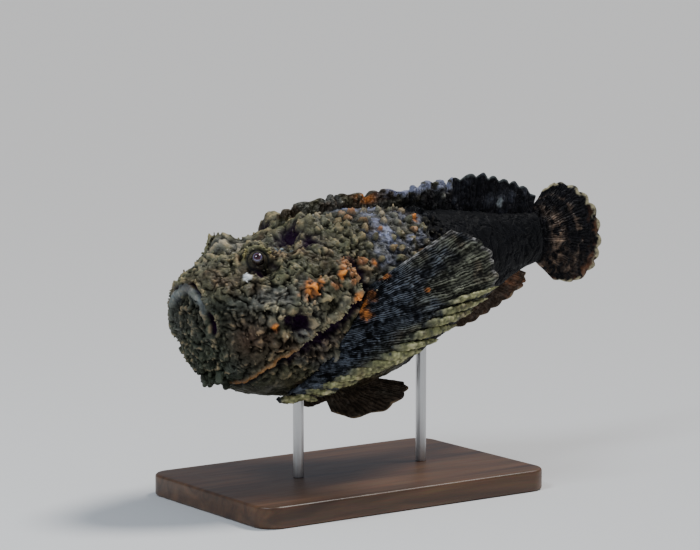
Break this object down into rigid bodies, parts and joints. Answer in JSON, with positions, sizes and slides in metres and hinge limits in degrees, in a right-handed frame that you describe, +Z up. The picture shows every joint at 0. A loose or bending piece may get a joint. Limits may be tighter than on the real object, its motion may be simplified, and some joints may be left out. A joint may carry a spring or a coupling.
{
  "type": "stonefish",
  "caption": "Life-size still model of a reef stonefish swimming head low, on a flat wooden display base with two steel rods.",
  "frame": {"origin": "centre of the display base's underside", "axes": "+Z up; +X along the fish's length from its head towards its tail; the fish's left side faces -Y"},
  "size_m": [0.3048, 0.1266, 0.1733],
  "materials": {
    "skin": "matte",
    "fins": "matte",
    "eyes": "gloss",
    "wood": "satin",
    "steel": "satin"
  },
  "bodies": {
    "root": {"head": "skin", "lower_jaw": "skin", "gill_cover_left": "skin", "gill_cover_right": "skin", "torso": "skin", "tail": "skin", "dorsal_fin_spiny": "skin", "dorsal_fin_soft": "fins", "anal_fin": "fins", "caudal_fin": "fins", "pectoral_fin_left": "fins", "pectoral_fin_right": "fins", "pelvic_fin_left": "fins", "pelvic_fin_right": "fins", "eye_left": "eyes", "eye_right": "eyes", "stand_base": "wood", "stand_rod_front": "steel", "stand_rod_rear": "steel"}
  },
  "joints": []
}
